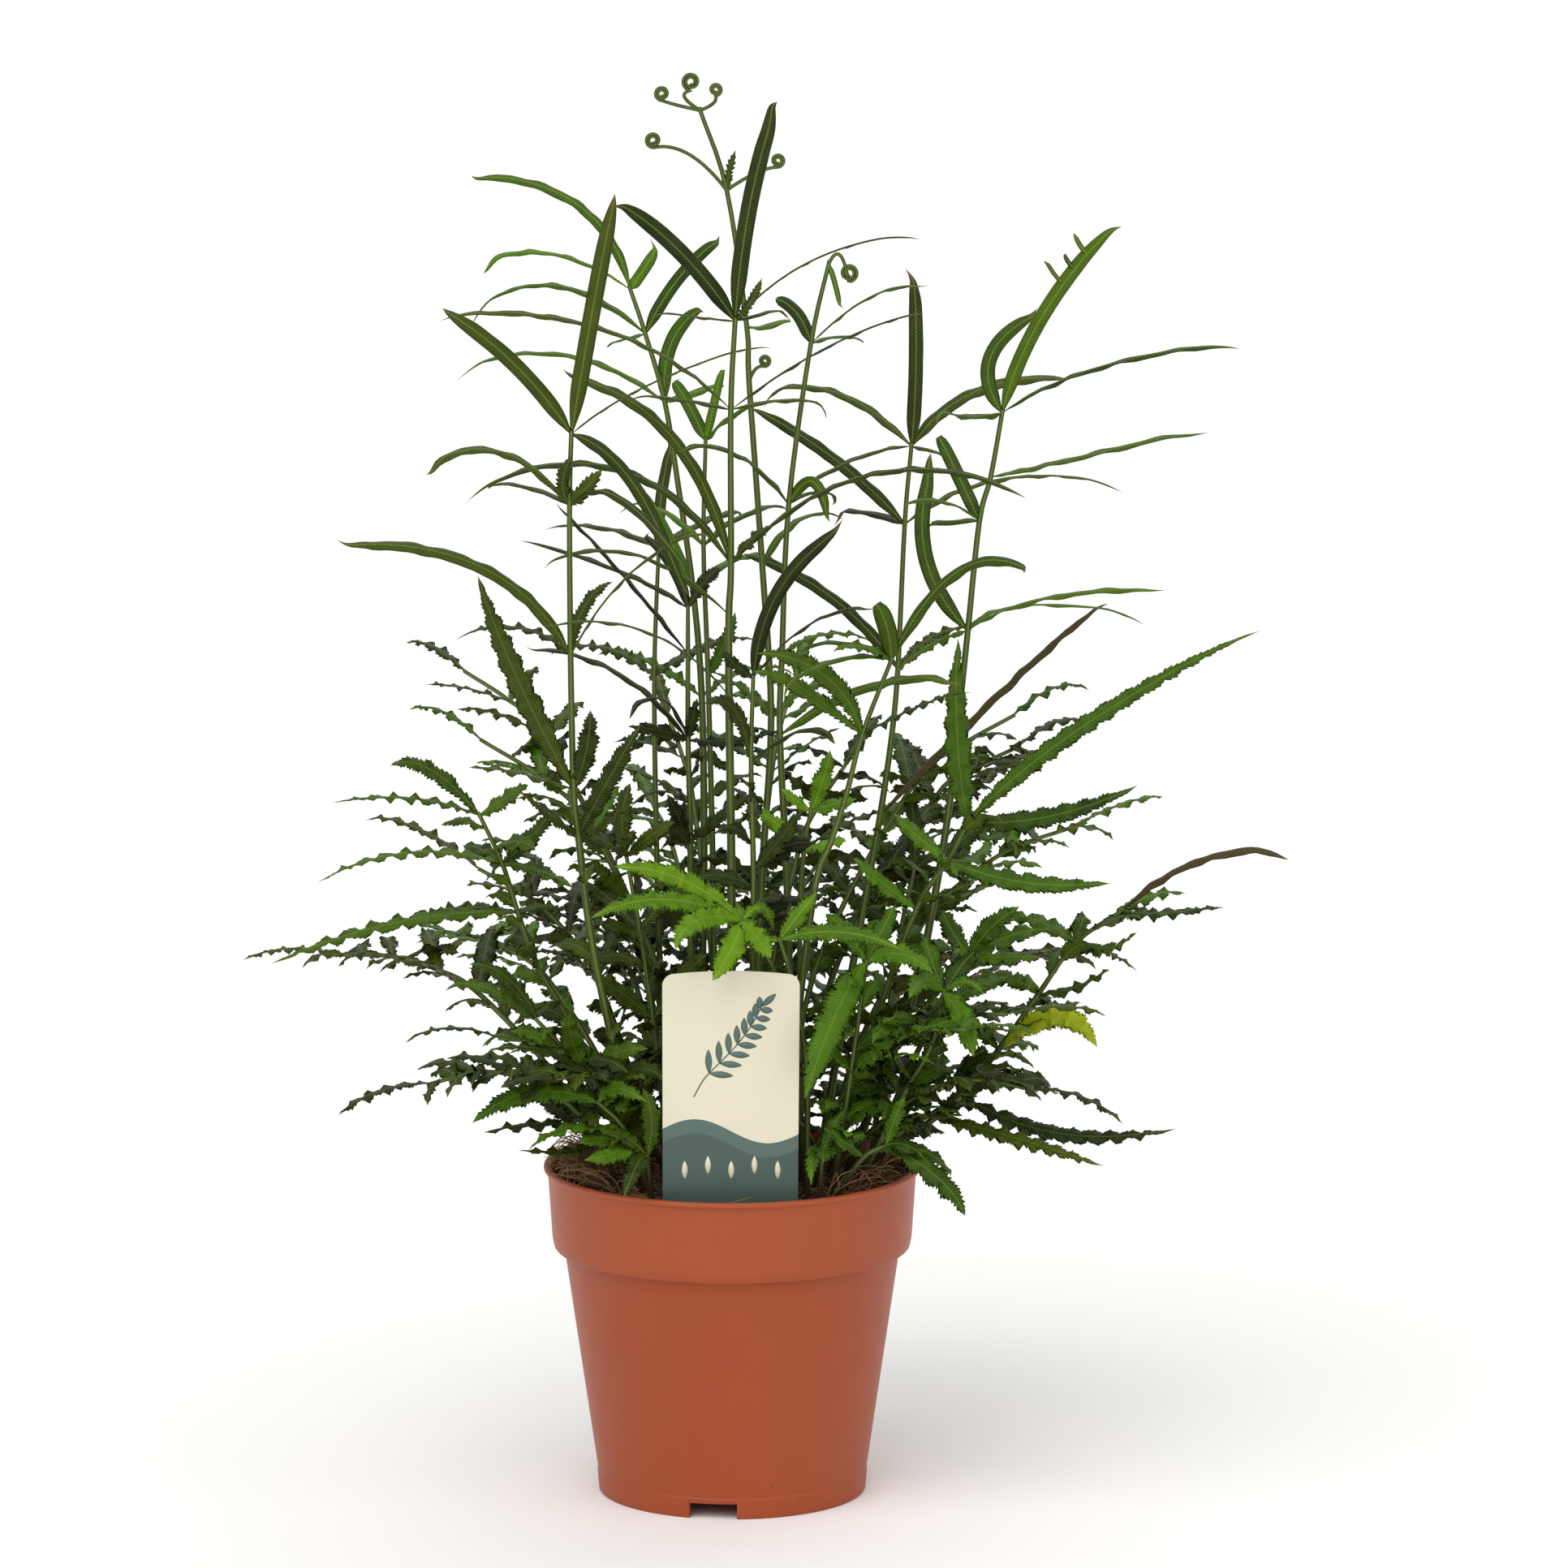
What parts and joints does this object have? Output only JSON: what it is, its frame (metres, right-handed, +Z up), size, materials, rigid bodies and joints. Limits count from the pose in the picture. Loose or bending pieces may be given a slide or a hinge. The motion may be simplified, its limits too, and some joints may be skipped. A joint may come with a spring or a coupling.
{
  "type": "potted fern",
  "caption": "Evergreen brake fern with tall narrow fertile fronds and low broad sterile ones, in a terracotta-coloured plastic nursery pot with a plain plant label.",
  "frame": {"origin": "centre of the pot's foot, on the ground", "axes": "+Z up, along the pot's axis and the fronds; +X to the right and +Y away from the front, where the label stands"},
  "size_m": [0.4822, 0.3881, 0.6528],
  "materials": {
    "pot plastic": "satin, injection moulded",
    "potting soil": "moist peat and coir",
    "label card": "printed sheet, satin",
    "mature leaf": "living leaf, semi-gloss",
    "shaded leaf": "living leaf, semi-gloss",
    "leaf": "living leaf, semi-gloss",
    "fresh leaf": "living leaf, semi-gloss",
    "young leaf": "living leaf, semi-gloss"
  },
  "bodies": {
    "root": {"pot": "pot plastic", "soil": "potting soil", "label": "label card", "tall_left": "mature leaf", "tall_centre": "mature leaf", "tall_unrolling": "leaf", "tall_back_left": "fresh leaf", "tall_right_of_centre": "leaf", "tall_right_upright": "mature leaf", "tall_far_right": "leaf", "short_right": "leaf", "slim_back_left": "mature leaf", "young_centre": "fresh leaf", "dark_left": "shaded leaf", "dark_centre": "shaded leaf", "low_left_long": "leaf", "low_left_middle": "leaf", "low_left_front": "fresh leaf", "low_left_rim": "mature leaf", "bright_front": "young leaf", "bright_right": "young leaf", "drooping_right": "fresh leaf", "rosette_right": "fresh leaf", "low_right_broad": "fresh leaf", "low_right_long": "leaf", "low_right_wide": "mature leaf", "low_right_rim": "fresh leaf", "rim_left_of_label": "leaf", "rim_right_of_label": "fresh leaf", "upper_right_wavy": "fresh leaf", "young_light": "young leaf", "left_inner": "mature leaf", "right_inner": "mature leaf", "back_01": "fresh leaf", "back_02": "mature leaf", "back_03": "mature leaf", "back_04": "fresh leaf", "back_05": "mature leaf", "back_06": "mature leaf", "back_07": "fresh leaf", "back_08": "mature leaf", "back_09": "mature leaf", "back_10": "fresh leaf", "back_11": "mature leaf", "back_12": "mature leaf", "inner_01": "fresh leaf", "inner_02": "mature leaf", "inner_03": "mature leaf", "inner_04": "fresh leaf", "inner_05": "mature leaf", "inner_06": "mature leaf", "inner_07": "fresh leaf", "low_front_left_01": "fresh leaf", "low_front_left_02": "mature leaf", "low_front_left_03": "mature leaf", "low_front_right_01": "fresh leaf", "low_front_right_02": "mature leaf", "low_front_right_03": "mature leaf"}
  },
  "joints": []
}
